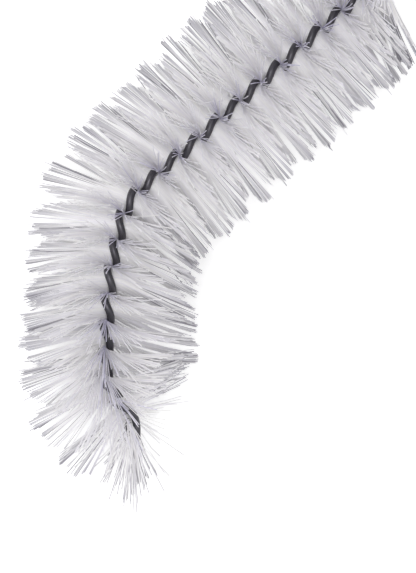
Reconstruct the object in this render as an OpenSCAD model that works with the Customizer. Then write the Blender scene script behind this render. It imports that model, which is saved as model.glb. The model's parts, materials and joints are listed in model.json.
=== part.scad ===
// Twisted-wire bottle brush, bent by use and lying on its side.
//
// One steel wire is folded in two. The fold is the hanging loop, and the two legs are twisted
// left-handed. Along the working end they grip a layer of straight nylon filaments, each held
// at its middle, so that the layer turns with the twist and every half turn makes one fan. Past
// the last fan the legs run side by side and hold the end tuft, whose filaments fold forwards.
//
// +X runs along the handle to the loop, +Z is up, the bends lie in the XY plane, and the brush
// rests on z = 0. Distances along the wire are measured from the cut ends, at the tuft.

/* [Bristles] */
// Diameter over the bristle tips
brush_d = 50; // [42:1:60]
// Number of fans, one for each half turn of the twist
fan_count = 21; // [20:1:24]
// Filaments gripped in each fan
filaments_per_fan = 11; // [8:1:16]
// Thickness of a filament
filament_t = 0.28; // [0.2:0.02:0.3]
// Gap between one fan and the next
fan_gap = 0.06; // [0.04:0.02:0.12]
// How far the lowest tips give under the brush's own weight
tip_give = 1.1; // [0.8:0.1:1.6]
// Angle by which the upper and lower filaments nearest the tuft have been swept forwards
sweep_angle = 45; // [30:1:45]
// The most that the filaments at the sides have been swept forwards
side_sweep_angle = 20; // [8:1:24]
// Angle by which the filaments at the handle end have been swept forwards
handle_sweep_angle = 21; // [0:1:24]
// Distance from the cut ends up to which the upper and lower sweep is full
sweep_full_at = 13; // [10:1:18]
// Distance from the cut ends at which that sweep begins
sweep_starts_at = 50; // [40:1:56]
// Distance over which the filaments at the handle end come to their sweep
handle_sweep_len = 15; // [12:1:20]

/* [End tuft] */
// Length of wire past the last fan
tuft_len = 5.8; // [5:0.1:7]
// Filaments folded into the tuft
tuft_filaments = 10; // [6:1:12]
// Widest sideways splay of the tuft
tuft_splay = 70; // [40:5:75]
// Forward angle of the tuft's frontmost filaments
tuft_front_angle = 84; // [75:1:86]
// Forward angle of the tuft's rearmost filaments
tuft_rear_angle = 50; // [48:1:60]

/* [Wire] */
// Diameter of the wire
wire_d = 2.1; // [1.7:0.1:2.5]
// Length of one full turn of the twist
pitch = 15; // [12.5:0.5:18]
// Clearance between a leg and the filament layer it grips
grip_clearance = 0.08; // [0.07:0.01:0.12]
// Clearance between the two legs where no filaments part them
leg_clearance = 0.14; // [0.12:0.02:0.2]
// Length over which the twist eases in and out
twist_ease = 3; // [2:0.5:4]

/* [Handle] */
// Half turns of bare twisted handle
handle_half_turns = 12; // [8:2:16]
// Length over which the legs close up past the last fan
closing_len = 6; // [4:1:8]
// Clear diameter of the hanging loop's eye
eye_d = 18; // [14:1:24]
// Radius, at the wire's centre, of the necks where the legs part to form the loop
neck_r = 9; // [6:1:12]

/* [Bends] */
// Straight wire at the cut ends
end_straight = 3; // [2:0.5:4]
// Angle of the kink behind the tuft
kink_angle = 50; // [20:1:50]
// Length of each half of the kink
kink_len = 9.5; // [9:0.5:12]
// Angle by which the kink swings back further than it swung out
kink_return = 2; // [0:1:6]
// Straight wire between the kink and the slow bend
run_len = 14; // [10:1:20]
// Angle of the slow bend
slow_angle = 11; // [0:1:16]
// Length of the slow bend
slow_len = 21; // [15:1:26]
// Straight wire between the slow bend and the main bend
gap_len = 7; // [4:1:10]
// Angle of the main bend
main_angle = 35.4; // [20:0.2:40]
// Length of the main bend
main_len = 9.5; // [9:0.5:14]

/* [Hidden] */
// The brush radius that the next two tables are for. Longer filaments are limper, with the cube
// of their length, and even the bends out over a stretch that is longer by as much. Shorter ones
// lie as the tables say.
table_brush_r = 25;
// How the filaments' frame turns along the wire: distance from the cut ends, and the share of
// the whole bend. It turns a little more slowly than the wire, as stiff filaments even a bend out.
lay_turns = [
    [0, 1], [6, 1.76], [9.5, 1.8], [12.5, 1.7], [17, 1.49], [24.5, 1.22], [32, 1],
    [45, 0.93], [60, 0.7], [77, 0.13], [100, 0.05], [110, 0]
];
// Share of the side sweep that the filaments have, by the distance from the cut ends. It is full
// in the stretch that was squeezed in use.
side_sweeps = [[6, 0.2], [17, 0.25], [32, 0.4], [48, 1], [60, 0.9], [77, 0.5], [92, 0.4], [110, 0]];
// Distance from the axis at which swept filaments take their own direction
knee_r = 3.4;
// Distance from the axis at which the filaments part, as a share of the wire's radius
grip_share = 0.6;
// Sides of the wire's section, and rings in each turn of the twist
wire_sides = 8;
rings_per_turn = 10;
// Angle between the rings of the loop
ring_step = 20;
// Distance from the axis at which the tuft's first filament folds forwards, and how much
// further out its last does
tuft_fold_r = 1.8;
tuft_fold_rise = 1.5;

half_pitch = pitch / 2;
brush_r = brush_d / 2;
wire_r = wire_d / 2;
axis_h = brush_r - tip_give;
filament_step = half_pitch / filaments_per_fan;
grip_r = grip_share * wire_r;
gripped_offset = wire_r + filament_t / 2 + grip_clearance;
closed_offset = wire_r + leg_clearance / 2;
bristle_end = tuft_len + fan_count * half_pitch;
twist_start = tuft_len - twist_ease / 2;
twist_end = bristle_end + handle_half_turns * half_pitch + twist_ease / 2;
loop_r = eye_d / 2 + wire_r;
loop_centre_at = sqrt(pow(neck_r + loop_r, 2) - pow(neck_r + closed_offset, 2));
neck_angle = acos((neck_r + closed_offset) / (neck_r + loop_r));
lay_stretch = max(1, pow(brush_r / table_brush_r, 3));
side_sweep_end = lay_stretch * side_sweeps[len(side_sweeps) - 1][0];

function fan_name(i) = str("bristle_fan_", i < 10 ? "0" : "", i);
fan_names = [for (i = [1 : fan_count]) fan_name(i)];

// ---- The wire's path: straight runs and arcs, each a length and a turn, from the cut ends.

bends = [
    [end_straight, 0],
    [kink_len, kink_angle],
    [kink_len, -kink_angle - kink_return],
    [run_len, 0],
    [slow_len, -slow_angle],
    [gap_len, 0],
    [main_len, -main_angle]
];
whole_bend = kink_return + slow_angle + main_angle;

function total(list, column, upto) = upto == 0 ? 0 : list[upto - 1][column] + total(list, column, upto - 1);
function along(start, heading, bend, s) =
    let (turned = bend[1] * s / bend[0])
    abs(turned) < 0.001 ? start + s * [cos(heading), sin(heading)]
    : let (r = s / (turned * PI / 180))
      start + r * [sin(heading + turned) - sin(heading), cos(heading) - cos(heading + turned)];
function corner(i) = i == 0 ? [0, 0] : along(corner(i - 1), headings[i - 1], bends[i - 1], bends[i - 1][0]);

headings = [for (i = [0 : len(bends)]) whole_bend + total(bends, 1, i)];
distances = [for (i = [0 : len(bends)]) total(bends, 0, i)];
corners = [for (i = [0 : len(bends)]) corner(i)];

function run_of(q, i = 0) = i >= len(bends) || q < distances[i + 1] ? i : run_of(q, i + 1);
function path_point(q) =
    let (i = run_of(q), s = q - distances[i])
    i < len(bends) ? along(corners[i], headings[i], bends[i], s) : corners[i] + [s, 0];
function path_heading(q) =
    let (i = run_of(q))
    i < len(bends) ? headings[i] + bends[i][1] * (q - distances[i]) / bends[i][0] : 0;

// ---- The twist: the filament layer's angle about the wire, left-handed, eased at both ends.

function eased(x) = x <= 0 ? 0 : x >= twist_ease ? x - twist_ease / 2 : x * x / (2 * twist_ease);
function layer_angle(q) = 90 - 180 * (eased(q - twist_start) - eased(q - twist_end + twist_ease)) / half_pitch;

function ahead(heading) = [cos(heading), sin(heading), 0];
function across(heading, angle) = [-sin(heading) * cos(angle), cos(heading) * cos(angle), sin(angle)];
function unit(v) = v / norm(v);
function share_of(x) = min(1, max(0, x));
function raised(p, h) = [p[0], p[1], h];
function above_floor(p) = [p[0], p[1], max(p[2], 0)];

// ---- The filaments.

function lay_heading(q) = whole_bend * lookup(q / lay_stretch, lay_turns);
// Use has swept the filaments towards the tuft: near it, and in the last fans at the handle.
function sweep(q, angle) =
    let (
        side = side_sweep_angle * lookup(q / lay_stretch, side_sweeps),
        upright = sweep_angle * share_of((sweep_starts_at - q) / (sweep_starts_at - sweep_full_at))
    )
    side + (upright - side) * pow(sin(angle), 2)
    + handle_sweep_angle * share_of(1 - (bristle_end - q) / handle_sweep_len);
function arm_direction(q, angle) =
    let (heading = lay_heading(q), lean = sweep(q, angle))
    cos(lean) * across(heading, angle) - sin(lean) * ahead(heading);
// A filament ends at its full length, or at the floor if it meets that first.
function arm_end(start, direction, length) =
    start + (direction[2] < 0 ? min(length, -start[2] / direction[2]) : length) * direction;

// The point on the axis at q, or off it at radius r on the side at the given angle.
function spoke_point(q, angle, r) =
    raised(path_point(q), axis_h) + r * across(path_heading(q), angle);

// The gripped layer's section at one station: its four corners, round from the first side's top.
function grip_section(q, heading) =
    let (
        centre = raised(path_point(q), axis_h),
        angle = layer_angle(q),
        out = grip_r * across(heading, angle),
        up = filament_t / 2 * across(heading, angle + 90)
    )
    [centre + out + up, centre + out - up, centre - out - up, centre - out + up];

// A filament's square section, in the order in which the grip section's corners meet it.
function filament_section(centre, along_wire, up) =
    let (a = filament_t / 2 * along_wire, u = filament_t / 2 * up)
    [for (p = [centre - a + u, centre - a - u, centre + a - u, centre + a + u]) above_floor(p)];

// A straight arm's only ring is at its tip.
function straight_arm(q, angle) =
    let (
        direction = arm_direction(q, angle),
        up = across(lay_heading(q), angle + 90),
        tip = arm_end(spoke_point(q, angle, 0), direction, brush_r)
    )
    [filament_section(tip, unit(cross(direction, up)), up)];

// A kneed arm leaves the grip square to the wire, and takes its own direction at the knee.
function kneed_arm(q, angle, fold_r, direction) =
    let (
        knee = spoke_point(q, angle, fold_r),
        tip = arm_end(knee, direction, brush_r - fold_r),
        up = across(path_heading(q), angle + 90),
        along_wire = unit(cross(direction, up))
    )
    [
        filament_section(knee, unit(ahead(path_heading(q)) + along_wire), up),
        filament_section(tip, along_wire, cross(along_wire, direction))
    ];

function quad(a, b, c, d) = [[a, b, c], [a, c, d]];
function tube_faces(a, b) = [
    for (k = [0 : len(a) - 1])
        let (n = (k + 1) % len(a))
        each quad(b[k], a[k], a[n], b[n])
];
// A row of filaments side by side, as one closed surface. sections holds the grip layer's
// corners at each station, and arms[j][s] the rings of filament j's arm on side s.
module filament_row(sections, arms) {
    n = len(arms);
    rings = len(arms[0][0]);
    points = concat(
        [for (s = sections) each s],
        [for (f = arms) each [for (arm = f) each [for (ring = arm) each ring]]]
    );
    function grip(j, k) = 4 * j + k;
    // The four corners where an arm leaves the layer, on side s.
    function root(j, s) = [
        grip(j, 2 * s), grip(j, 2 * s + 1), grip(j + 1, 2 * s + 1), grip(j + 1, 2 * s)
    ];
    function ring(j, s, r) = [for (k = [0 : 3]) 4 * (n + 1) + ((2 * j + s) * rings + r) * 4 + k];
    function ring_or_root(j, s, r) = r < 0 ? root(j, s) : ring(j, s, r);
    faces = concat(
        [for (j = [0 : n - 1]) each quad(grip(j + 1, 0), grip(j + 1, 3), grip(j, 3), grip(j, 0))],
        [for (j = [0 : n - 1]) each quad(grip(j, 1), grip(j, 2), grip(j + 1, 2), grip(j + 1, 1))],
        quad(grip(0, 1), grip(0, 0), grip(0, 3), grip(0, 2)),
        quad(grip(n, 0), grip(n, 1), grip(n, 2), grip(n, 3)),
        [
            for (j = [0 : n - 1], s = [0, 1], r = [0 : rings - 1])
                each tube_faces(ring_or_root(j, s, r - 1), ring(j, s, r))
        ],
        [
            for (j = [0 : n - 1], s = [0, 1])
                let (end = ring(j, s, rings - 1))
                each quad(end[0], end[1], end[2], end[3])
        ]
    );
    polyhedron(points, faces, convexity = 12);
}

function fan_start(i) = tuft_len + (i - 1) * half_pitch;
function is_swept(i) =
    fan_start(i) < side_sweep_end || fan_start(i + 1) > bristle_end - handle_sweep_len;
function filament_at(i, j) = fan_start(i) + (j + 0.5) * filament_step;
function station(i, j) =
    fan_start(i) + j * filament_step
    + (j == 0 ? fan_gap / 2 : j == filaments_per_fan ? -fan_gap / 2 : 0);
function fan_arm(i, j, side) =
    let (q = filament_at(i, j), angle = layer_angle(q) + side * 180)
    is_swept(i) ? kneed_arm(q, angle, knee_r, arm_direction(q, angle)) : straight_arm(q, angle);

module bristle_fan(i) {
    color("ghostwhite")
        translate(to_origin)
            filament_row(
                [
                    for (j = [0 : filaments_per_fan])
                        let (q = station(i, j))
                        grip_section(q, is_swept(i) ? path_heading(q) : lay_heading(q))
                ],
                [for (j = [0 : filaments_per_fan - 1]) [fan_arm(i, j, 0), fan_arm(i, j, 1)]]
            );
}

// ---- The end tuft: each filament leaves the grip, then folds forwards and to one side. The
// rearmost fold furthest out, so that they clear the ones in front.

tuft_start = end_straight / 2;
tuft_step = (tuft_len - tuft_start) / tuft_filaments;
function tuft_at(j) = tuft_start + (j + 0.5) * tuft_step;
function tuft_station(j) = tuft_start + j * tuft_step - (j == tuft_filaments ? fan_gap / 2 : 0);
function tuft_share(j) = (j + 0.5) / tuft_filaments;
// Alternate filaments go to opposite sides, the front ones least.
function tuft_turn(j) = (j % 2 == 0 ? 1 : -1) * tuft_splay * (0.25 + 0.75 * tuft_share(j));
function tuft_lean(j) = tuft_front_angle + (tuft_rear_angle - tuft_front_angle) * tuft_share(j);
function tuft_arm(j, side) =
    let (
        q = tuft_at(j),
        angle = layer_angle(q) + side * 180,
        out = across(whole_bend, angle + tuft_turn(j)),
        direction = unit(cos(tuft_lean(j)) * out - sin(tuft_lean(j)) * ahead(whole_bend))
    )
    kneed_arm(q, angle, tuft_fold_r + tuft_fold_rise * tuft_share(j), direction);

module end_tuft() {
    color("ghostwhite")
        translate(to_origin)
            filament_row(
                [
                    for (j = [0 : tuft_filaments])
                        let (q = tuft_station(j))
                        grip_section(q, path_heading(q))
                ],
                [for (j = [0 : tuft_filaments - 1]) [tuft_arm(j, 0), tuft_arm(j, 1)]]
            );
}

// ---- The wire: out along one leg, round the loop, and back along the other.

function smooth(x) = let (t = share_of(x)) t * t * (3 - 2 * t);
// Distance of a leg's centre from the wire's axis, which closes up once the filaments end.
function leg_offset(q) =
    gripped_offset + (closed_offset - gripped_offset) * smooth((q - bristle_end) / closing_len);
function leg_point(q, side) = spoke_point(q, layer_angle(q) + 90 * side, leg_offset(q));
function leg_out(q, side) = across(path_heading(q), layer_angle(q) + 90 * side);

twist_rings = round((twist_end - twist_start) / pitch * rings_per_turn);
leg_distances = concat(
    [0, twist_start / 2],
    [for (i = [0 : twist_rings]) twist_start + (twist_end - twist_start) * i / twist_rings]
);
// The side of the axis on which the first leg reaches the loop.
loop_side = cos(layer_angle(twist_end) + 90) > 0 ? 1 : -1;
neck_steps = ceil(neck_angle / ring_step);
eye_steps = ceil((180 + 2 * neck_angle) / ring_step);
loop_centre = path_point(twist_end) + [loop_centre_at, 0];

// Each ring of the loop: its centre, and the direction away from the eye.
function neck_ring(angle, side) =
    let (
        from_axis = closed_offset + neck_r - neck_r * cos(angle),
        centre = path_point(twist_end) + [neck_r * sin(angle), side * from_axis]
    )
    [raised(centre, axis_h), [-sin(angle), side * cos(angle), 0]];
function eye_ring(angle) =
    let (out = [cos(angle), loop_side * sin(angle), 0])
    [raised(loop_centre, axis_h) + loop_r * out, out];
function leg_ring(q, side) = [leg_point(q, side), leg_out(q, side)];
// The first leg's rings, then the loop's, then the second leg's back to its cut end.
wire_rings = concat(
    [for (q = leg_distances) leg_ring(q, 1)],
    [for (i = [1 : neck_steps - 1]) neck_ring(neck_angle * i / neck_steps, loop_side)],
    [for (i = [0 : eye_steps]) eye_ring((90 + neck_angle) * (1 - 2 * i / eye_steps))],
    [for (i = [neck_steps - 1 : -1 : 1]) neck_ring(neck_angle * i / neck_steps, -loop_side)],
    [for (i = [len(leg_distances) - 1 : -1 : 0]) leg_ring(leg_distances[i], -1)]
);

function ring_direction(i) =
    let (last = len(wire_rings) - 1)
    unit(wire_rings[min(i + 1, last)][0] - wire_rings[max(i - 1, 0)][0]);
function wire_section(i) =
    let (
        forward = ring_direction(i),
        sideways = unit(cross(forward, wire_rings[i][1])),
        out = cross(sideways, forward)
    )
    [
        for (k = [0 : wire_sides - 1])
            let (turn = -360 * (k + 0.5) / wire_sides)
            wire_rings[i][0] + wire_r * (cos(turn) * out + sin(turn) * sideways)
    ];
function wire_ring(i) = [for (k = [0 : wire_sides - 1]) i * wire_sides + k];

module wire_stem() {
    last = len(wire_rings) - 1;
    faces = concat(
        [for (i = [0 : last - 1]) each tube_faces(wire_ring(i), wire_ring(i + 1))],
        [wire_ring(last)],
        [[for (k = [wire_sides - 1 : -1 : 0]) k]]
    );
    color("dimgray")
        translate(to_origin)
            polyhedron([for (i = [0 : last]) each wire_section(i)], faces, convexity = 12);
}

// ---- The origin: on the floor, at the middle of the brush's box.

arms = concat(
    [for (i = [1 : fan_count], j = [0 : filaments_per_fan - 1], side = [0, 1]) fan_arm(i, j, side)],
    [for (j = [0 : tuft_filaments - 1], side = [0, 1]) tuft_arm(j, side)]
);
tips = [for (arm = arms) each arm[len(arm) - 1]];
loop_end = loop_centre[0] + loop_r + wire_r;
left = min([for (p = tips) p[0]]);
front = min([for (p = tips) p[1]]);
back = max([for (p = tips) p[1]]);
to_origin = [-(left + loop_end) / 2, -(front + back) / 2, 0];

wire_stem();
for (i = [1 : fan_count]) bristle_fan(i);
end_tuft();
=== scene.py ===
# %% [markdown]
# # A twisted-wire bottle brush
# The brush is one steel wire, folded in two and twisted, with a layer of thin nylon filaments
# caught between the two legs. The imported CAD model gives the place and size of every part. It
# comes in first, and stays as it is: everything made below is measured against it.

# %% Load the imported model
import json

import bpy
import numpy as np
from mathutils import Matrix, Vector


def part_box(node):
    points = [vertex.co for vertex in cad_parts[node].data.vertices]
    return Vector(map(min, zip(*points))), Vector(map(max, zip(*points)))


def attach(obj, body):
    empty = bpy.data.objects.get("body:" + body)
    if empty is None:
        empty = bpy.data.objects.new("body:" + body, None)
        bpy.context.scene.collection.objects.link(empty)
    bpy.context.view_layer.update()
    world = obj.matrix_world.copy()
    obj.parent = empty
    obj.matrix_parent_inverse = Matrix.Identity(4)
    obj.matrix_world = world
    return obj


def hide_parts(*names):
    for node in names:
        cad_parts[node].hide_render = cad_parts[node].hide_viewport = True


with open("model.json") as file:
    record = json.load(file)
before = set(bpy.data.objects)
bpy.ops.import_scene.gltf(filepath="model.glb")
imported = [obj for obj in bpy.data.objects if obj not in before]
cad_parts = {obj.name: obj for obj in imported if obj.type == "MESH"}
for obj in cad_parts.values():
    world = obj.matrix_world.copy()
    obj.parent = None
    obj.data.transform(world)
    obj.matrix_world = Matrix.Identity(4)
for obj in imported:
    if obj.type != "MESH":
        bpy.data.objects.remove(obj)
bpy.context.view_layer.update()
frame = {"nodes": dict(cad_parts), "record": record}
rng = np.random.default_rng(20)
print("CAD nodes:", len(frame["nodes"]))

# %% [markdown]
# ## The bent path of the wire
# The wire has been bent by use. Its path is a chain of straight runs and arcs, each with a
# length and a turn. A chain of arcs could be drawn as a curve object, but the filaments need
# the place and heading at any distance, so it is kept as a function that takes whole arrays.
# Lengths here are millimetres, angles are degrees, and distances start at the cut ends.

# %% The path as a function of distance
MM = 0.001
# Each run's length and turn, from the cut ends to the handle, and the heading it all adds up to
RUNS = [(3, 0), (9.5, 50), (9.5, -52), (14, 0), (21, -11), (7, 0), (9.5, -35.4), (400, 0)]
WHOLE_BEND = 48.4
HALF_PITCH = 7.5
FANS = 21
HANDLE_HALF_TURNS = 12
TUFT_LENGTH = 5.8
TWIST_EASE = 3
TWIST_START = TUFT_LENGTH - TWIST_EASE / 2
BRISTLE_END = TUFT_LENGTH + FANS * HALF_PITCH
TWIST_END = BRISTLE_END + HANDLE_HALF_TURNS * HALF_PITCH + TWIST_EASE / 2


def cosd(angle):
    return np.cos(np.radians(angle))


def sind(angle):
    return np.sin(np.radians(angle))


run_length = np.array([length for length, _ in RUNS])
run_turn = np.array([turn for _, turn in RUNS])
run_start = np.concatenate([[0], np.cumsum(run_length)[:-1]])
run_heading = WHOLE_BEND + np.concatenate([[0], np.cumsum(run_turn)[:-1]])


def chord(length, heading, turn):
    """The straight line between the ends of an arc: it has the arc's mean heading, and the
    arc's length times sin(h) / h, where h is half of the turn in radians."""
    half = np.asarray(turn) / 2
    reach = length * np.sinc(half / 180)
    return np.stack([reach * cosd(heading + half), reach * sind(heading + half)], -1)


run_corner = np.concatenate([[[0, 0]], np.cumsum(chord(run_length, run_heading, run_turn), 0)[:-1]])


def run_at(q):
    """Which run a distance falls in, and what share of that run's turn is behind it."""
    run = np.clip(np.searchsorted(run_start, q, "right") - 1, 0, len(RUNS) - 1)
    return run, run_turn[run] * (q - run_start[run]) / run_length[run]


def path_heading(q):
    """The heading that the run starts with, plus what it has turned."""
    run, turned = run_at(q)
    return run_heading[run] + turned


def path_xy(q):
    """The corner that the run starts from, plus the chord of the arc up to q."""
    run, turned = run_at(q)
    return run_corner[run] + chord(q - run_start[run], run_heading[run], turned)


def smooth(x):
    """0 below 0, 1 above 1, and 3x^2 - 2x^3 between them."""
    x = np.clip(x, 0, 1)
    return x * x * (3 - 2 * x)


print("the path is", round(TWIST_END, 1), "mm long, and ends at", path_xy(TWIST_END).round(2))

# %% [markdown]
# ## Where the brush lies
# The path above starts at 0, 0. The hanging loop's mount in the record says where the eye's
# centre is in the model, so the whole path is moved to put its own eye there. That keeps these
# pieces on the CAD nodes, wherever the model's origin is.

# %% Put the path on the model
WIRE_R = 1.05
NECK_R = 9
EYE_R = 18 / 2 + WIRE_R
# How far a leg's centre is from the axis: where it grips filaments, and past them
LEG_GRIPPED = 1.27
LEG_CLOSED = WIRE_R + 0.07
eye_from_end = np.sqrt((NECK_R + EYE_R) ** 2 - (NECK_R + LEG_CLOSED) ** 2)
eye = 1000 * np.array(frame["record"]["mounts"][0]["pos_m"])
origin = eye - [*(path_xy(TWIST_END) + [eye_from_end, 0]), 0]
AXIS_H = eye[2]


def axis_point(q):
    """The path's point, moved to its place on the model, at the height of the eye."""
    xy = path_xy(q) + origin[:2]
    return np.concatenate([xy, np.full_like(xy[..., :1], AXIS_H)], -1)


def ahead(heading):
    """A unit vector along the heading."""
    return np.stack([cosd(heading), sind(heading), 0 * heading], -1)


def across(heading, angle):
    """A unit vector square to the heading: cos(angle) of the level one to its left, plus
    sin(angle) of the one straight up."""
    heading, angle = np.broadcast_arrays(np.asarray(heading, float), np.asarray(angle, float))
    return np.stack(
        [-sind(heading) * cosd(angle), cosd(heading) * cosd(angle), sind(angle)], -1
    )


def layer_angle(q):
    """The filament layer's angle about the wire: upright at first, then half a turn less,
    which is left-handed, for each half pitch, easing in and out over a few millimetres."""
    def eased(x):
        x = np.maximum(x, 0)
        return np.where(x < TWIST_EASE, x * x / (2 * TWIST_EASE), x - TWIST_EASE / 2)
    return 90 - 180 * (eased(q - TWIST_START) - eased(q - TWIST_END + TWIST_EASE)) / HALF_PITCH


print("axis height in mm:", round(AXIS_H, 2), " eye centre:", eye.round(2))

# %% [markdown]
# ## The camera
# The camera looks straight down on the brush where it lies, from far enough away for a long
# lens, and it is rolled so that the bristled end comes down to the lower left.

# %% Camera
tenth_fan = axis_point(np.array(TUFT_LENGTH + 9.5 * HALF_PITCH))[:2]
VIEW_CENTRE = tenth_fan + [-7.0, -32.5]
VIEW_HEIGHT = 158.6
CAMERA_ABOVE = 900
CAMERA_ROLL = -41.6
SENSOR = 36
lens = bpy.data.cameras.new("camera")
lens.lens = SENSOR * CAMERA_ABOVE / VIEW_HEIGHT
lens.clip_end = 100
camera = bpy.data.objects.new("camera", lens)
camera.location = (VIEW_CENTRE[0] * MM, VIEW_CENTRE[1] * MM, (AXIS_H + CAMERA_ABOVE) * MM)
camera.rotation_euler = (0, 0, np.radians(CAMERA_ROLL))
bpy.context.scene.collection.objects.link(camera)
bpy.context.scene.camera = camera
bpy.context.scene.view_settings.view_transform = "Standard"
print("lens", round(lens.lens), "mm, centred on", VIEW_CENTRE.round(1))

# %% [markdown]
# ## One way to make every strand
# The wire and each filament are the same kind of surface: a round section carried along a
# path. Curve objects with a bevel could do this, but thousands of them are slow and hard to
# colour. One function takes the paths of all strands as an array and makes a single closed
# mesh, with its own map for baking: each strand has its own cells of the map.

# %% Round strands from paths
def unit(v):
    """A vector divided by its length."""
    return v / np.linalg.norm(v, axis=-1, keepdims=True)


def strand_points(paths, radii, sides, reference):
    """Point (i, k, s) is path point k of strand i, plus the radius times cos(p) of the
    reference direction and sin(p) of the one square to it, with p = 360 (s + 1/2) / sides.
    The reference is first made square to the path's own direction."""
    forward = unit(np.gradient(paths, axis=1))
    out = unit(reference - (reference * forward).sum(-1, keepdims=True) * forward)
    side = np.cross(forward, out)
    turn = 360 * (np.arange(sides) + 0.5) / sides
    section = (
        cosd(turn)[:, None] * out[:, :, None, :] + sind(turn)[:, None] * side[:, :, None, :]
    )
    return paths[:, :, None, :] + radii[..., None, None] * section


def strand_faces(count, rings, sides):
    """Quads between neighbouring rings, and one face to close each end."""
    first = np.arange(count)[:, None, None] * rings * sides
    k = np.arange(rings - 1)[:, None] * sides
    s = np.arange(sides)
    near, far = first + k + s, first + k + (s + 1) % sides
    quads = np.stack([near, far, far + sides, near + sides], -1).reshape(-1, 4)
    start = first[:, 0] + s[::-1]
    end = first[:, 0] + (rings - 1) * sides + s
    return quads, np.concatenate([start, end])


# Shares of a map cell: the margin, the sides' width and height, and where the end faces lie
MARGIN, WIDE, TALL = 0.05, 0.9, 0.85
END_AT, END_TALL = 0.94, 0.03


def strand_map(count, rings, sides, rings_per_cell):
    """A cell for each strand, or several for a long one: across a cell goes the way round,
    and up it the way along. The end faces have the top edge of the strand's last cell."""
    per_strand = -(-(rings - 1) // rings_per_cell)
    columns = int(np.ceil(np.sqrt(count * per_strand)))
    strand = np.arange(count)[:, None, None]
    k = np.arange(rings - 1)[:, None]
    s = np.arange(sides)
    cell = strand * per_strand + k // rings_per_cell + 0 * s
    x, y = cell % columns, cell // columns
    u = np.stack([s, s + 1, s + 1, s], -1) / sides
    v = (k % rings_per_cell)[..., None] + np.array([0, 0, 1, 1])
    quads = np.stack(
        [x[..., None] + MARGIN + WIDE * u, y[..., None] + MARGIN + TALL * v / rings_per_cell], -1
    )
    last = np.tile(np.arange(count) * per_strand + per_strand - 1, 2)[:, None]
    ends_x = last % columns + MARGIN + WIDE * s / sides
    ends_y = last // columns + END_AT + END_TALL * (s % 2)
    ends = np.stack([ends_x, ends_y], -1)
    return np.concatenate([quads.reshape(-1, 2), ends.reshape(-1, 2)]) / columns


def make_strands(name, paths, radii, sides, reference, rings_per_cell, notes, is_round=True):
    """Puts the strands in one mesh, in metres. notes holds numbers for each ring, which the
    materials read by name. A filament is so thin that its sides are left flat, with one of
    them turned up: smooth shading would round it off into its own shadow."""
    count, rings = paths.shape[:2]
    points = strand_points(paths, radii, sides, reference).reshape(-1, 3) * MM
    quads, ends = strand_faces(count, rings, sides)
    mesh = bpy.data.meshes.new(name)
    mesh.from_pydata(points.tolist(), [], quads.tolist() + ends.tolist())
    bake_map = mesh.uv_layers.new(name="OFBake")
    bake_map.uv.foreach_set("vector", strand_map(count, rings, sides, rings_per_cell).ravel())
    for note, values in notes.items():
        values = np.asarray(values, np.float32)
        values = np.broadcast_to(values[..., None], (count, rings, sides)).ravel()
        mesh.attributes.new(note, "FLOAT", "POINT").data.foreach_set("value", values)
    mesh.polygons.foreach_set("use_smooth", [is_round] * len(mesh.polygons))
    mesh.update()
    piece = bpy.data.objects.new(name, mesh)
    bpy.context.scene.collection.objects.link(piece)
    return piece


print("a strand of 13 rings and 3 sides has", sum(map(len, strand_faces(1, 13, 3))), "faces")

# %% [markdown]
# ## The wire
# The real wire goes out along one leg, round the loop, and back along the other. It could be
# two helices and a ring, but their joints would show. So it is one strand, listed in that
# order. Sixteen sides and two dozen rings to a turn are enough for the twist to look round,
# and the sheared ends are pinched a little, as cutters leave them.

# %% The wire's path
CLOSING_LENGTH = 6
# Rings on a leg before its twist and in it, on a neck, and round the eye
STRAIGHT_RINGS, TWIST_RINGS, NECK_RINGS, EYE_RINGS = 8, 402, 9, 45


def leg_path(q, side):
    """A leg's centre is square to the filament layer, at the gripped distance from the axis up
    to the last fan, and closes up by a smooth step past it. side is 1 for one leg and -1 for
    the other."""
    offset = LEG_GRIPPED + (LEG_CLOSED - LEG_GRIPPED) * smooth((q - BRISTLE_END) / CLOSING_LENGTH)
    out = across(path_heading(q), layer_angle(q) + 90 * side)
    return axis_point(q) + offset[:, None] * out, out


def neck_path(angle, side):
    """An arc of radius NECK_R that parts a leg from the axis, and curves the other way from
    the eye."""
    out = np.stack([-sind(angle), side * cosd(angle), 0 * angle], -1)
    centre = axis_point(np.array(TWIST_END)) + [0, side * (LEG_CLOSED + NECK_R), 0]
    return centre + NECK_R * np.stack([sind(angle), -side * cosd(angle), 0 * angle], -1), out


def eye_path(angle, side):
    """A circle of radius EYE_R about the eye, whose angle starts ahead and goes to the side."""
    out = np.stack([cosd(angle), side * sind(angle), 0 * angle], -1)
    return eye + EYE_R * out, out


loop_side = 1 if cosd(layer_angle(TWIST_END) + 90) > 0 else -1
neck_angle = np.degrees(np.arccos((NECK_R + LEG_CLOSED) / (NECK_R + EYE_R)))
straight_q = np.linspace(0, TWIST_START, STRAIGHT_RINGS)[:-1]
leg_q = np.concatenate([straight_q, np.linspace(TWIST_START, TWIST_END, TWIST_RINGS)])
neck = np.linspace(0, neck_angle, NECK_RINGS)[1:-1]
round_eye = np.linspace(90 + neck_angle, -90 - neck_angle, EYE_RINGS)
parts = [
    leg_path(leg_q, 1),
    neck_path(neck, loop_side),
    eye_path(round_eye, loop_side),
    neck_path(neck[::-1], -loop_side),
    leg_path(leg_q[::-1], -1),
]
wire_path = np.concatenate([path for path, _ in parts])
wire_out = np.concatenate([out for _, out in parts])
wire_step = np.linalg.norm(np.diff(wire_path, axis=0), axis=-1)
wire_along = np.concatenate([[0], np.cumsum(wire_step)])
print("wire:", len(wire_path), "rings,", round(wire_along[-1]), "mm of wire")

# %% The wire's surface
WIRE_SIDES = 16
RINGS_PER_CELL = 72
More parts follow.
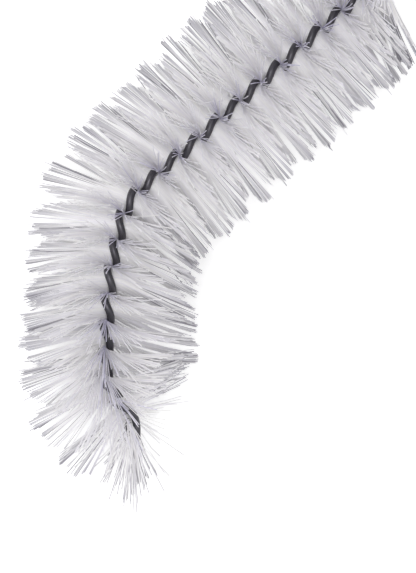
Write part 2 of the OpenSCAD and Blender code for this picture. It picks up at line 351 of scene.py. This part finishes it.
# A sheared end's radius, as a share of the wire's, and how far from the end it is whole again
SHEARED, SHEARED_LENGTH = 0.82, 0.9
from_end = np.minimum(wire_along, wire_along[-1] - wire_along)
wire_radius = WIRE_R * (SHEARED + (1 - SHEARED) * smooth(from_end / SHEARED_LENGTH))
wire = make_strands(
    "steel_wire",
    wire_path[None],
    wire_radius[None],
    WIRE_SIDES,
    wire_out[None],
    RINGS_PER_CELL,
    {"along": wire_along[None]},
)
turn = 360 * (np.arange(WIRE_SIDES) + 0.5) / WIRE_SIDES
for note, value in (("round_x", cosd(turn)), ("round_y", sind(turn))):
    values = np.tile(value, len(wire_path)).astype(np.float32)
    wire.data.attributes.new(note, "FLOAT", "POINT").data.foreach_set("value", values)
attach(wire, "root")
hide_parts("wire_stem")
print("wire piece:", len(wire.data.polygons), "faces")
print("its box against the CAD node's, in mm:")
corners = np.array(wire.bound_box)
for corner, cad_corner in zip((corners.min(0), corners.max(0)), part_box("wire_stem")):
    print([round(1000 * v, 2) for v in np.subtract(corner, cad_corner)])

# %% [markdown]
# ## The filaments
# Each real filament is a straight nylon hair, held at its middle, so one strand runs from tip
# to tip through the grip. It leaves the legs square to the wire and within a few millimetres
# takes the direction of the bristles around it. Hair particles would be quick to make, but they
# can't be gripped by a turning layer. So the paths are worked out: a direction at every point,
# added up along the filament.

# %% How the filaments lie
BRUSH_R = 25
FILAMENT_R = 0.135
# Where a half filament has its points, as shares of its length
STEPS = np.array([0, 0.06, 0.13, 0.24, 0.42, 0.68, 1])
# The two tables are read at distances along the wire
LAY_AT = [0, 6, 9.5, 12.5, 17, 24.5, 32, 45, 60, 77, 100, 110]
LAY_SHARE = [1, 1.76, 1.8, 1.7, 1.49, 1.22, 1, 0.93, 0.7, 0.13, 0.05, 0]
SIDE_SWEEP = 20
SIDE_AT = [6, 17, 32, 48, 60, 77, 92, 110]
SIDE_SHARE = [0.2, 0.25, 0.4, 1, 0.9, 0.5, 0.4, 0]
# An angle, how far along the wire it is full, and where it has gone
UPRIGHT_SWEEP, UPRIGHT_FULL_TO, UPRIGHT_GONE_AT = 34, 13, 50
HANDLE_SWEEP, HANDLE_SWEEP_LENGTH = 21, 15


def lay_heading(q):
    """The heading that the filaments keep square to, read from a table of shares of the whole
    bend: nearly the wire's, with its bends evened."""
    return WHOLE_BEND * np.interp(q, LAY_AT, LAY_SHARE)


def fading(q, full_to, gone_at):
    """1 up to the first distance, falling straight to 0 at the second."""
    return np.clip((gone_at - q) / (gone_at - full_to), 0, 1)


def sweep(q, angle):
    """How far use has swept the filaments towards the tuft, in degrees. It is one angle at the
    sides, times a share that changes along the brush, and another above and below, which fades
    away from the tuft, mixed by the square of the sine of the filament's angle. The last fan
    or two at the handle have some more all round."""
    side = SIDE_SWEEP * np.interp(q, SIDE_AT, SIDE_SHARE)
    upright = UPRIGHT_SWEEP * fading(q, UPRIGHT_FULL_TO, UPRIGHT_GONE_AT)
    at_handle = HANDLE_SWEEP * np.clip(1 - (BRISTLE_END - q) / HANDLE_SWEEP_LENGTH, 0, 1)
    return side + (upright - side) * sind(angle) ** 2 + at_handle


def half_paths(start, rooted, free, length, fold_from, fold_to):
    """A half filament goes from its start in the direction rooted, and turns to the direction
    free between the radii fold_from and fold_to. Each step adds the direction at its middle
    times its length."""
    r = length[:, None] * STEPS
    middle = (r[:, 1:] + r[:, :-1]) / 2
    w = smooth((middle - fold_from[:, None]) / (fold_to - fold_from)[:, None])[..., None]
    direction = unit((1 - w) * rooted[:, None] + w * free[:, None])
    steps = direction * np.diff(r)[..., None]
    walk = np.concatenate([np.zeros_like(start)[:, None], np.cumsum(steps, 1)], 1)
    return start[:, None] + walk


def spread(size, sigma, loose_share=0.0, loose_sigma=0.0):
    """Normal random angles: sigma times a random number, or loose_sigma times it for a few."""
    loose = rng.random(size) < loose_share
    return rng.normal(0, 1, size) * np.where(loose, loose_sigma, sigma)


def bundle_numbers(q, width):
    """Which bundle each filament is in. Bundles stand side by side along the wire, and each is
    half to one and a half times the width: their edges are a running sum of random widths, more
    of them than the brush needs."""
    edges = np.cumsum(width * rng.uniform(0.5, 1.5, int(3 * BRISTLE_END / width)))
    return np.searchsorted(edges, q)


print("lay heading every 30 mm:", lay_heading(np.arange(9.5, 165, 30)).round(1))

# %% [markdown]
# ## Where the filaments are gripped
# The filaments lie between the legs, here about two dozen to a millimetre of wire. One fan
# could be made and copied along the path, but then all fans would look the same. So every
# filament has its own place along the wire, and its fan is the half turn of the twist that the
# place falls in. The first fans have fewer, as they wear the most.

# %% Places along the wire
PER_FAN = 180
FEWEST_LEFT, ALL_LEFT_AT = 0.45, 21
GRIP_SLACK = 0.1
q = TUFT_LENGTH + HALF_PITCH * (np.arange(PER_FAN * FANS) + rng.random(PER_FAN * FANS)) / PER_FAN
q = q[rng.random(len(q)) < np.interp(q, [TUFT_LENGTH, ALL_LEFT_AT], [FEWEST_LEFT, 1])]
count = len(q)
fan = np.minimum((q - TUFT_LENGTH) // HALF_PITCH, FANS - 1).astype(int)
from_middle = (q - TUFT_LENGTH) % HALF_PITCH - HALF_PITCH / 2
grip_angle = layer_angle(q)
in_layer = GRIP_SLACK * rng.uniform(-1, 1, count)
start = axis_point(q) + in_layer[:, None] * across(path_heading(q), grip_angle + 90)
# 0 where the layer lies level, and 1 where it stands upright. The two below it pick out the
# filaments that stand up, and the fewer that are seen end-on from above.
upright = sind(grip_angle) ** 2
standing = np.clip((upright - 0.55) / 0.3, 0, 1)
end_on = np.clip((upright - 0.9) / 0.1, 0, 1)
print("filaments:", count)

# %% [markdown]
# ## Which way each one goes
# New filaments stand straight out. In a used brush each leans by the sweep of its place, by the
# opening of its fan, and by small angles of its bundle and of its own, so the four are added.
# A fan that lies level opens like a hand, by where each filament is in it, and meets the next
# fan. The filaments that stand up open at random instead, because from above they would show a
# regular opening as a row of leaves. The outer side of the bend and the inner side have worn
# differently, so a few numbers come in pairs, outer side first.

# %% Paths of the half filaments
OPENING = (7.5, 5)
BUNDLE_WIDTH = (0.3, 0.5)
TIP_PULL = (0.38, 0.6)
BUNDLE_NUMBERS = 4000
BUNDLE_LEAN = 2.5
ROOTED_TO = 1.2
TURNED_AT = (4, 8)
LOOSE_ANGLES, LOOSE_TILTS = (0.02, 16), (0.04, 7)
# The share of its length that an inner filament has lost at most near the tuft, and how far
# from there it lasts and where it has gone
WORN_SHARE, WORN_TO, WHOLE_FROM = 0.65, 12, 21
# How much longer than the brush's radius a level filament is: the outer ones come to it slowly
OUTER_EXTRA, INNER_EXTRA = 0.09, 0.07
EXTRA_FROM, EXTRA_OVER = 45, 35


def directions(side):
    """For the half filaments of one side: the angle of each about the wire, its tilt towards
    the tuft, its bundle, and whether it is on the outer side of the bend. The angle is the
    layer's, plus a random one that is smaller where the layer is upright. The opening is the
    place in the fan over 1.2 mm, from -1 to 1, or a random share of up to 2.3 for filaments
    that stand up, and up to 1.1 for those seen end-on."""
    angle = grip_angle + side + spread(count, 6 - 3 * upright + 2 * end_on, *LOOSE_ANGLES)
    outer = cosd(angle) > 0
    outer_bundle = bundle_numbers(q, BUNDLE_WIDTH[0])
    inner_bundle = BUNDLE_NUMBERS // 2 + bundle_numbers(q, BUNDLE_WIDTH[1])
    bundle = np.where(outer, outer_bundle, inner_bundle)
    own_way = rng.uniform(-1, 1, count) * (2.3 - 1.2 * end_on)
    opening = (1 - standing) * np.clip(from_middle / 1.2, -1, 1) + standing * own_way
    diverge = -opening * np.where(outer, *OPENING)
    of_bundle = rng.uniform(-BUNDLE_LEAN, BUNDLE_LEAN, BUNDLE_NUMBERS)[bundle]
    of_its_own = spread(count, 1.4 + 1.5 * end_on, *LOOSE_TILTS)
    tilt = sweep(q, angle) + diverge + of_bundle + of_its_own
    return angle, tilt, bundle, outer


halves, bundles, pulls = [], [], []
for side in (0, 180):
    angle, tilt, bundle, outer = directions(side)
    rooted = across(path_heading(q), grip_angle + side)
    lay = lay_heading(q)
    free = cosd(tilt)[:, None] * across(lay, angle) - sind(tilt)[:, None] * ahead(lay)
    turned_at = rng.uniform(*TURNED_AT, count)
    worn = np.where(outer, 0, WORN_SHARE * fading(q, WORN_TO, WHOLE_FROM))
    outer_extra = OUTER_EXTRA * np.clip((q - EXTRA_FROM) / EXTRA_OVER, 0, 1)
    extra = np.where(outer, outer_extra, INNER_EXTRA)
    length = BRUSH_R * (1 - worn * rng.random(count)) * (1 + extra * (1 - upright))
    halves.append(half_paths(start, rooted, free, length, np.full(count, ROOTED_TO), turned_at))
    bundles.append(bundle + BUNDLE_NUMBERS * (side > 0))
    pulls.append(np.where(outer, *TIP_PULL) * (1 - 0.75 * standing))
print("mean length of a half, in mm:", length.mean().round(1))

# %% [markdown]
# ## Tips that gather
# Nylon tips cling together in narrow flat-ended bundles, with slits between them. A physics
# simulation could pull them together, but the bundles are neighbours along the wire, so it is
# enough to number them from end to end, and to draw every tip part of the way to the middle of
# its own bundle. A bundle was cut as one, so its filaments have nearly one length.

# %% Draw the tips together
FARTHEST_PULL = 2.0
# Where along a half the bend begins and how much of the half it takes, and the share of strays
BENT_FROM, BENT_OVER = 0.22, 0.6
STRAYS, STRAY_EXTRA = 0.015, 0.03


def gather(halves, bundles, pulls, uneven, own_uneven):
    """Each tip moves by about its share of the way to the mean of its bundle, and by 2 mm at
    most. The points below it move by that times a smooth step of how far along the half they
    are, so the outer end of a bundle has straight sides. Then every half is shortened by a
    share that its bundle has in common, a random number to the power 1.5, and a small share of
    its own: its last point slides back along it. A few strays are a little longer instead."""
    tips = np.concatenate([h[:, -1] for h in halves])
    numbers, group = np.unique(np.concatenate(bundles), return_inverse=True)
    size = np.bincount(group)
    mean = np.stack([np.bincount(group, tips[:, axis]) / size for axis in range(3)], -1)
    pull = np.concatenate(pulls) * rng.uniform(0.7, 1.1, len(tips))
    shift = (mean[group] - tips) * pull[:, None]
    moved_by = np.linalg.norm(shift, axis=-1, keepdims=True)
    shift = shift * np.minimum(1, FARTHEST_PULL / np.maximum(moved_by, 1e-6))
    bend = smooth((STEPS - BENT_FROM) / BENT_OVER)
    moved = np.concatenate(halves) + bend[:, None] * shift[:, None]
    last = moved[:, -1] - moved[:, -2]
    cut = uneven * rng.random(len(numbers))[group] ** 1.5 + own_uneven * rng.random(len(tips))
    is_stray = rng.random(len(tips)) < STRAYS
    cut = np.where(is_stray, -STRAY_EXTRA * rng.random(len(tips)), cut)
    moved[:, -1] -= last * (cut / (STEPS[-1] - STEPS[-2]))[:, None]
    return np.array_split(moved, len(halves)), group


halves, group = gather(halves, bundles, pulls, uneven=0.07, own_uneven=0.05)
print("bundles of tips:", group.max() + 1)

# %% [markdown]
# ## One mesh for each fan
# A filament goes from one tip through the grip to the other, so its two halves are joined
# there. All the filaments could be one mesh, but a fan is what one half turn of the wire holds,
# and it stands for one node of the CAD model. Each ring carries the numbers that the nylon's
# colour is made of: how far out it is, the tones of its bundle and its filament, and whether
# the filament stands up. Towards the handle, more filaments take the dark filaments' tone.

# %% Filaments from tip to tip
# How far out each point of a whole filament is, as a share of its half's length
reach = np.concatenate([STEPS[:0:-1], STEPS])


def on_floor(paths):
    """Nothing goes below the floor: tips that reach it lie along it."""
    paths[..., 2] = np.maximum(paths[..., 2], FILAMENT_R + 0.01)
    return paths


def whole_filaments(halves):
    """Joins two halves at the grip, the first one listed from its tip."""
    return on_floor(np.concatenate([halves[0][:, :0:-1], halves[1]], 1))


def each_ring(values):
    """One number for each filament, repeated for all its rings."""
    return np.repeat(values[:, None], len(reach), 1)


def filament_mesh(name, paths, face, notes):
    """Whole filaments of three sides, one of which has its middle towards face."""
    shape = paths.shape[:2]
    radii = np.full(shape, FILAMENT_R)
    notes = {"along": np.broadcast_to(reach, shape), **notes}
    return make_strands(name, paths, radii, 3, face[:, None], len(reach) - 1, notes, is_round=False)


fan_paths = whole_filaments(halves)
print("points in a filament:", len(reach))

# %% The fans
# Near the handle, more filaments get the tone that the nylon turns into its dark filament, painted
# shade
HANDLE_DARK_SHARE, HANDLE_DARK_LENGTH, HANDLE_DARK_FADE, HANDLE_DARK_TONE = 0.3, 14, 8, 0.95
bundle_tone = rng.random(group.max() + 1)[group].reshape(2, count)
first_half = np.repeat(bundle_tone[0][:, None], len(STEPS) - 1, 1)
second_half = np.repeat(bundle_tone[1][:, None], len(STEPS), 1)
own_tone = rng.random(count)
# More filaments towards the handle take that tone, and with it the painted shade
darker_near_handle = HANDLE_DARK_SHARE * np.clip((q - BRISTLE_END + HANDLE_DARK_LENGTH) / HANDLE_DARK_FADE, 0, 1)
own_tone = np.where(rng.random(count) < darker_near_handle, HANDLE_DARK_TONE, own_tone)
notes = {
    "group_tone": np.concatenate([first_half, second_half], 1),
    "own_tone": each_ring(own_tone),
    "upright": each_ring(abs(sind(grip_angle))),
}
face = across(path_heading(q), grip_angle + 90)
face *= np.where(face[:, 2:] < 0, -1, 1)
fans = []
for i in range(FANS):
    mine = fan == i
    piece = filament_mesh(
        f"fan_{i + 1:02d}_filaments",
        fan_paths[mine],
        face[mine],
        {note: values[mine] for note, values in notes.items()},
    )
    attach(piece, "root")
    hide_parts(f"bristle_fan_{i + 1:02d}")
    fans.append(piece)
print("fans:", len(fans), " faces in one:", len(fans[0].data.polygons))

# %% [markdown]
# ## The end tuft
# The filaments past the last half turn are folded forwards over the cut ends, into an open
# cone: each leans 30 to 84 degrees ahead, and the rear ones are turned further to the sides.
# They could be bent by a physics simulation, but there are only a few dozen, and the functions
# above give each one its path from a direction.

# %% The tuft's filaments
TUFT_COUNT = 46
TUFT_FROM = 1.4
MOST_TURN = 85
MOST_LEAN, LEAN_RANGE = 84, 54
TUFT_BUNDLE = 0.15
q = rng.uniform(TUFT_FROM, TUFT_LENGTH, TUFT_COUNT)
share = (q - TUFT_FROM) / (TUFT_LENGTH - TUFT_FROM)
grip_angle = layer_angle(q)
face = across(path_heading(q), grip_angle + 90)
start = axis_point(q) + (GRIP_SLACK * rng.uniform(-1, 1, TUFT_COUNT))[:, None] * face
forwards = ahead(np.full(TUFT_COUNT, WHOLE_BEND))
tuft_halves = []
for side in (0, 180):
    angle = grip_angle + side
    rooted = across(path_heading(q), angle)
    turn = rng.uniform(-1, 1, TUFT_COUNT) * MOST_TURN * (0.4 + 0.6 * share)
    lean = MOST_LEAN - LEAN_RANGE * rng.random(TUFT_COUNT) + rng.normal(0, 4, TUFT_COUNT)
    sideways = across(WHOLE_BEND, angle + turn)
    free = cosd(lean)[:, None] * sideways - sind(lean)[:, None] * forwards
    length = BRUSH_R * (1.02 - 0.2 * rng.random(TUFT_COUNT))
    tuft_halves.append(half_paths(start, rooted, free, length, 0.6 + 1.2 * share, 3.4 + 2 * share))
tuft_bundles = [bundle_numbers(q, TUFT_BUNDLE), BUNDLE_NUMBERS + bundle_numbers(q, TUFT_BUNDLE)]
tuft_pulls = [np.full(2 * TUFT_COUNT, 0.4)]
tuft_halves, _ = gather(tuft_halves, tuft_bundles, tuft_pulls, uneven=0.1, own_uneven=0.05)
tone = each_ring(rng.random(TUFT_COUNT))
tuft = filament_mesh(
    "end_tuft_filaments",
    whole_filaments(tuft_halves),
    face,
    {"group_tone": tone, "own_tone": tone, "upright": np.full_like(tone, 0.3)},
)
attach(tuft, "root")
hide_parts("end_tuft")
print("tuft:", TUFT_COUNT, "filaments")

# %% [markdown]
# ## Writing materials as sums
# A material is a sum of patterns. Its nodes could be placed and linked one by one, but it reads
# best as a sum. The class below wraps a node's output, and its operators add the Math node they
# stand for.

# %% Sockets that can be added and multiplied
class Value:
    """One output of a node in a material's tree."""

    def __init__(self, tree, socket):
        self.tree = tree
        self.socket = socket

    def node(self, kind, settings=None, inputs=None, output=0):
        """Adds a node of a kind, sets it up, links or fills its inputs, and gives one output."""
        node = self.tree.nodes.new(kind)
        for name, value in (settings or {}).items():
            setattr(node, name, value)
        for key, value in (inputs or {}).items():
            if isinstance(value, Value):
                self.tree.links.new(value.socket, node.inputs[key])
            else:
                node.inputs[key].default_value = value
        return Value(self.tree, node.outputs[output])

    def maths(self, operation, a, b):
        return self.node("ShaderNodeMath", {"operation": operation}, {0: a, 1: b})

    def __add__(self, other):
        return self.maths("ADD", self, other)

    __radd__ = __add__

    def __mul__(self, other):
        return self.maths("MULTIPLY", self, other)

    __rmul__ = __mul__

    def __sub__(self, other):
        return self.maths("SUBTRACT", self, other)

    def __rsub__(self, other):
        return self.maths("SUBTRACT", other, self)

    def between(self, low, high):
        """0 where this is low or less, 1 where it is high or more, and straight between."""
        limits = {"Value": self, "From Min": low, "From Max": high}
        return self.node("ShaderNodeMapRange", {"clamp": True}, limits)

    def mix(self, a, b):
        """Colour a where this is 0, and b where it is 1."""
        return self.node("ShaderNodeMix", {"data_type": "RGBA"}, {0: self, 6: a, 7: b}, output=2)

    def noted(self, name):
        """A number that the mesh holds for each of its points under this name."""
        return self.node("ShaderNodeAttribute", {"attribute_name": name}, output=2)

    def noise(self, place, scale, detail):
        """Smooth random numbers about one half, read at a place: a larger scale is finer."""
        inputs = {"Vector": place, "Scale": scale, "Detail": detail}
        return self.node("ShaderNodeTexNoise", inputs=inputs)

    def on_object(self):
        """The place in the object's own coordinates, in metres."""
        return self.node("ShaderNodeTexCoord", output=3)


def new_material(name, constants):
    """A material with one Principled shader, whose unvarying numbers go on its own sockets."""
    material = bpy.data.materials.new(name)
    material.use_nodes = True
    shader = material.node_tree.nodes["Principled BSDF"]
    for socket, value in constants.items():
        shader.inputs[socket].default_value = value
    return material, shader, Value(material.node_tree, None)


def feed(material, shader, socket, value):
    """Links a value to one of the shader's sockets."""
    material.node_tree.links.new(value.socket, shader.inputs[socket])


# %% [markdown]
# ## Nylon
# Clear-ish white nylon passes light on from filament to filament, so a bundle looks white, and
# its tips look grey, because they stand alone. Tracing that light through thousands of strands
# would be slow, so the colour carries it: a cool and a warm white by filament and by bundle,
# painted shade that greys the level filaments towards the tip, a few dark filaments as painted
# shade of the slits between filaments, and violet painted shade where they are seen end-on.

# %% Nylon filaments
COOL_WHITE, WARM_WHITE = (0.92, 0.905, 0.95, 1), (1.0, 0.99, 0.985, 1)
# Greys for the tips: painted shade of tips that stand alone
COOL_TIP_PAINTED_SHADE, WARM_TIP_PAINTED_SHADE = (0.47, 0.46, 0.51, 1), (0.68, 0.67, 0.69, 1)
# A dark filament: painted shade of the slits between filaments
DARK_SLIT_PAINTED_SHADE = (0.22, 0.21, 0.25, 1)
# Violet: painted shade on filaments seen end-on from above
VIOLET_PAINTED_SHADE = (0.70, 0.68, 0.82, 1)
nylon, shader, v = new_material("white_nylon", {"IOR": 1.45})
along = v.noted("along")
group_value = v.noted("group_tone")
own_value = v.noted("own_tone")
patches = v.noise(v.on_object(), 90.0, 2.0)
warmth = (patches * 0.2 + group_value * 0.25 + own_value * 0.55).between(0.3, 0.7)
# Only level filaments get painted shade at the tip; steep ones stay white, as painted light
level = v.noted("upright").between(0.8, 0.3)
white = warmth.mix(COOL_WHITE, WARM_WHITE)
# Grey towards the tip: painted shade
painted_tip_shade = warmth.mix(COOL_TIP_PAINTED_SHADE, WARM_TIP_PAINTED_SHADE)
colour = (along.between(0.5, 1.0) * level).mix(white, painted_tip_shade)
# About one level filament in ten goes dark outwards: painted shade of the slits between them
painted_slit_shade = own_value.between(0.87, 0.9) * along.between(0.25, 0.5) * level
colour = (painted_slit_shade * 0.9).mix(colour, DARK_SLIT_PAINTED_SHADE)
# Upright filaments go violet: painted shade where they are seen end-on
painted_end_on_shade = v.noted("upright").between(0.975, 1.0) * own_value.between(0.1, 0.6)
colour = painted_end_on_shade.mix(colour, VIOLET_PAINTED_SHADE)
feed(nylon, shader, "Base Color", colour)
feed(nylon, shader, "Roughness", own_value * 0.15 + 0.32)
for piece in [*fans, tuft]:
    piece.data.materials.append(nylon)
print("nylon on", len(fans) + 1, "pieces")

# %% [markdown]
# ## Drawn steel
# The wire is dull grey steel. Drawing leaves fine marks along it. An even noise in the object's
# coordinates can't follow the twist, so the marks are read from the wire's own angle and
# distance, which stretches them along it, and the even noise only adds a mottle.

# %% Steel wire
DARK_STEEL, LIGHT_STEEL = (0.045, 0.043, 0.05, 1), (0.11, 0.105, 0.12, 1)
steel, shader, v = new_material("drawn_steel", {"Specular IOR Level": 0.5})
on_wire = {0: v.noted("round_x"), 1: v.noted("round_y"), 2: v.noted("along") * 0.02}
marks = v.noise(v.node("ShaderNodeCombineXYZ", inputs=on_wire), 9.0, 3.0)
mottle = v.noise(v.on_object(), 220.0, 2.0)
tone = (marks * 0.6 + mottle * 0.4).between(0.3, 0.7)
feed(steel, shader, "Base Color", tone.mix(DARK_STEEL, LIGHT_STEEL))
feed(steel, shader, "Roughness", 0.5 - tone * 0.14)
feed(steel, shader, "Metallic", tone * 0.2 + 0.5)
bump = v.node("ShaderNodeBump", inputs={"Strength": 0.15, "Distance": 0.00005, "Height": marks})
feed(steel, shader, "Normal", bump)
wire.data.materials.append(steel)
print("steel on", wire.name)

# %% [markdown]
# ## Floor and light
# The floor is plain white. To a camera it adds a little of its own light, which takes it to the
# white of the paper while it keeps the brush's soft shadow. More lamps would whiten it too, but
# they would wash out the nylon. The light is an even white sky with one wide lamp, so that a
# colour shows about as it is written.

# %% Floor
FLOOR_REACH = 6.0
FLOOR_GLOW = 0.4


def how_seen(v):
    """1 where the camera looks, straight or by way of a gloss or a clear surface, and 0 for
    all other light."""
    rays = v.tree.nodes.new("ShaderNodeLightPath")
    names = ("Is Camera Ray", "Is Glossy Ray", "Is Transmission Ray")
    camera_ray, glossy_ray, clear_ray = (Value(v.tree, rays.outputs[name]) for name in names)
    return camera_ray + glossy_ray + clear_ray


floor_mesh = bpy.data.meshes.new("floor")
corners = FLOOR_REACH * np.array([[-1, -1, 0], [1, -1, 0], [1, 1, 0], [-1, 1, 0]])
floor_mesh.from_pydata(corners.tolist(), [], [(0, 1, 2, 3)])
floor = bpy.data.objects.new("floor", floor_mesh)
bpy.context.scene.collection.objects.link(floor)
paper, shader, v = new_material("white_paper", {"Roughness": 0.9, "Base Color": (0.9, 0.9, 0.9, 1)})
glow = v.node("ShaderNodeEmission", inputs={"Strength": how_seen(v) * FLOOR_GLOW})
both = v.node("ShaderNodeAddShader", inputs={0: Value(v.tree, shader.outputs[0]), 1: glow})
v.tree.links.new(both.socket, v.tree.nodes["Material Output"].inputs["Surface"])
floor_mesh.materials.append(paper)
print("floor:", 2 * FLOOR_REACH, "m wide")

# %% Sky and lamp
SKY = 0.66
LAMP_FROM = np.array([-0.12, 0.1, 1.15])
LAMP_SIZE, LAMP_POWER = 0.5, 5.5
world = bpy.data.worlds.new("sky")
bpy.context.scene.world = world
world.use_nodes = True
sky = world.node_tree.nodes["Background"]
whitened = how_seen(Value(world.node_tree, None)).between(0, 1) * (1 - SKY) + SKY
world.node_tree.links.new(whitened.socket, sky.inputs["Strength"])
sky.inputs["Color"].default_value = (1, 1, 1, 1)
lamp_data = bpy.data.lights.new("wide_lamp", "AREA")
lamp_data.shape = "DISK"
lamp_data.size = LAMP_SIZE
lamp_data.energy = LAMP_POWER
lamp = bpy.data.objects.new("wide_lamp", lamp_data)
lamp.location = LAMP_FROM
off_plumb = float(np.arctan2(np.hypot(*LAMP_FROM[:2]), LAMP_FROM[2]))
towards = float(np.arctan2(LAMP_FROM[1], LAMP_FROM[0]) + np.pi / 2)
lamp.rotation_euler = (off_plumb, 0, towards)
bpy.context.scene.collection.objects.link(lamp)
print("lamp at", LAMP_FROM)
